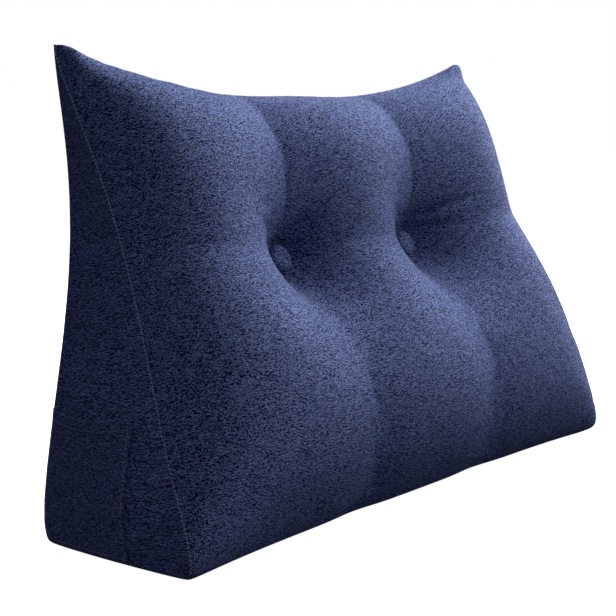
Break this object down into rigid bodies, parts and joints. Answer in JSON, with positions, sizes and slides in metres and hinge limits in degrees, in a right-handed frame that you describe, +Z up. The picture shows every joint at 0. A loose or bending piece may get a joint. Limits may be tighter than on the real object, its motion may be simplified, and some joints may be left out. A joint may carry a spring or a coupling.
{
  "type": "reading pillow",
  "caption": "Wedge-shaped reading pillow: upholstered backrest with pointed top corners, a front drawn in by covered buttons, and a patch pocket on one side.",
  "frame": {"origin": "centre of the bounding box's bottom face, on the surface the pillow stands on", "axes": "+X across the width, to the left of someone leaning on the front; -Y out of the tufted front; +Z up"},
  "size_m": [0.8164, 0.2486, 0.488],
  "materials": {
    "cover_cloth": "matte navy-blue melange weave",
    "button_cloth": "matte navy-blue melange weave, stretched over the button",
    "pocket_cloth": "matte navy-blue melange weave"
  },
  "bodies": {
    "root": {"cushion_body": "cover_cloth", "tuft_button_left": "button_cloth", "tuft_button_right": "button_cloth", "side_pocket": "pocket_cloth"}
  },
  "joints": []
}
